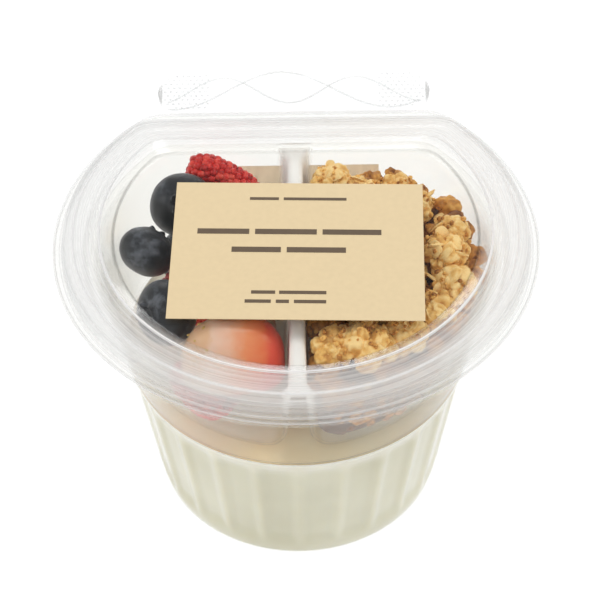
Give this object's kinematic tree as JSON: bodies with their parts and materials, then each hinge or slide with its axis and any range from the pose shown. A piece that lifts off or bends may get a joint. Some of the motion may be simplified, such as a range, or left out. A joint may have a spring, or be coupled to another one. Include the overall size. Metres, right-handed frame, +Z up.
{
  "type": "yogurt parfait",
  "caption": "Clear D-shaped snack cup with a fluted base and a locked lid, holding yogurt under a two-pocket tray of berries and granola.",
  "frame": {"origin": "centre of the cup's flat base, on the axis of its round wall", "axes": "+Z up; +Y towards the straight side with the tear strip, so the round front faces -Y"},
  "size_m": [0.1, 0.1033, 0.0709],
  "materials": {
    "clear_plastic": "clear, glossy thermoformed sheet",
    "label_paper": "matt tan paper label",
    "yogurt": "smooth cream-coloured yogurt, softly glossy",
    "blueberry": "dark skin with a dusty bloom",
    "raspberry": "moist red drupelets",
    "strawberry": "moist, pale at the hull end and orange-red at the tip",
    "granola": "toasted oat clusters, rough and dry"
  },
  "bodies": {
    "root": {"cup": "clear_plastic", "lid": "clear_plastic", "tear_strip": "clear_plastic", "tray": "clear_plastic", "yogurt": "yogurt", "top_label": "label_paper", "back_label": "label_paper", "blueberry_1": "blueberry", "blueberry_2": "blueberry", "blueberry_3": "blueberry", "blueberry_4": "blueberry", "blueberry_5": "blueberry", "blueberry_6": "blueberry", "blueberry_7": "blueberry", "raspberry_1": "raspberry", "raspberry_2": "raspberry", "raspberry_3": "raspberry", "strawberry_1": "strawberry", "strawberry_2": "strawberry", "granola": "granola"}
  },
  "joints": []
}
